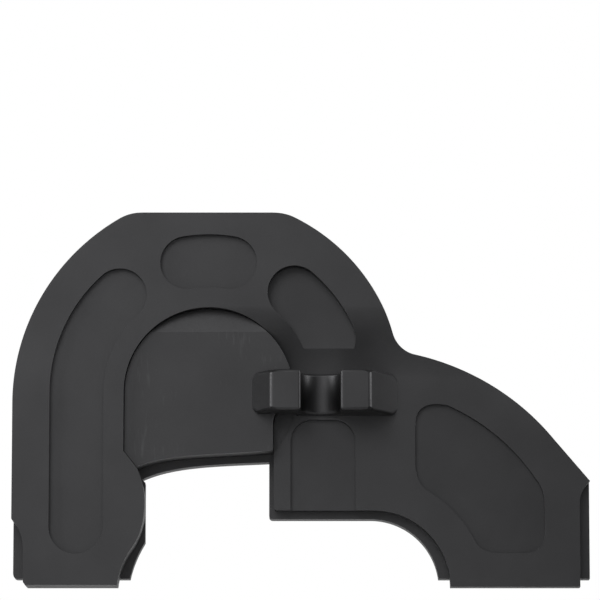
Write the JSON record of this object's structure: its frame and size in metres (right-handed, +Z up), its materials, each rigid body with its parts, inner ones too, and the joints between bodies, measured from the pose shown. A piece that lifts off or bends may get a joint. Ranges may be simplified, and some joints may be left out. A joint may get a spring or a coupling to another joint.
{
  "type": "spare tire carrier",
  "caption": "Arch-shaped plate carrier for a scale model's spare tire: stacked machined plates, pocketed front, two feet and a half-hexagon block with an open stud groove.",
  "frame": {"origin": "on the back face, straight behind the middle of the stud groove", "axes": "+X to the right seen from the front, towards the wing; +Y out of the back face, towards the tailgate; +Z up, away from the feet"},
  "size_m": [0.06, 0.0088, 0.0389],
  "materials": {
    "rear_plate": "black anodised, fine matte machined",
    "front_plate": "black anodised, fine matte machined",
    "centre_panel": "black anodised, fine matte machined, lightly scuffed",
    "hub_block": "black anodised, satin machined",
    "screw_steel": "black oxide steel",
    "pin_steel": "ground steel"
  },
  "bodies": {
    "root": {"rear_plate": "rear_plate", "front_plate": "front_plate", "centre_panel": "centre_panel", "hub_block": "hub_block", "arch_screw_1": "screw_steel", "arch_screw_2": "screw_steel", "arch_screw_3": "screw_steel", "arch_screw_4": "screw_steel", "arch_screw_5": "screw_steel", "wing_screw_1": "screw_steel", "wing_screw_2": "screw_steel", "wing_screw_3": "screw_steel", "wing_screw_4": "screw_steel", "wing_screw_5": "screw_steel", "panel_screw_1": "screw_steel", "panel_screw_2": "screw_steel", "hub_screw_1": "screw_steel", "hub_screw_2": "screw_steel", "dowel_pin_1": "pin_steel", "dowel_pin_2": "pin_steel"}
  },
  "joints": []
}
